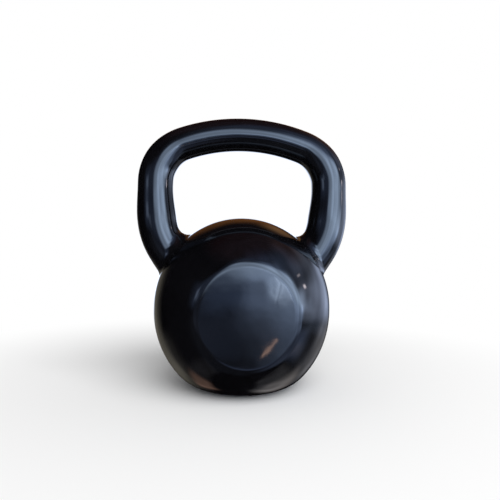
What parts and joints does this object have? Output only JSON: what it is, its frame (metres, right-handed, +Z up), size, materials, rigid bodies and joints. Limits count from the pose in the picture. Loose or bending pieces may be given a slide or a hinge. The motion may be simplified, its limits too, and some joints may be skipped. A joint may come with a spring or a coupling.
{
  "type": "kettlebell",
  "caption": "Cast iron kettlebell in a glossy black vinyl coat, with a looped handle, a flat base and a flat round face front and back.",
  "frame": {"origin": "centre of the flat base, on the surface that the bell stands on", "axes": "+Z up from the base to the handle, +X to the right along the handle's grip, -Y out of the front face"},
  "size_m": [0.1962, 0.1384, 0.2457],
  "materials": {
    "grey_iron": "matte",
    "black_vinyl": "gloss",
    "black_plastic": "matte"
  },
  "bodies": {
    "root": {"iron_casting": "grey_iron", "vinyl_coat": "black_vinyl", "base_plug": "black_plastic"}
  },
  "joints": []
}
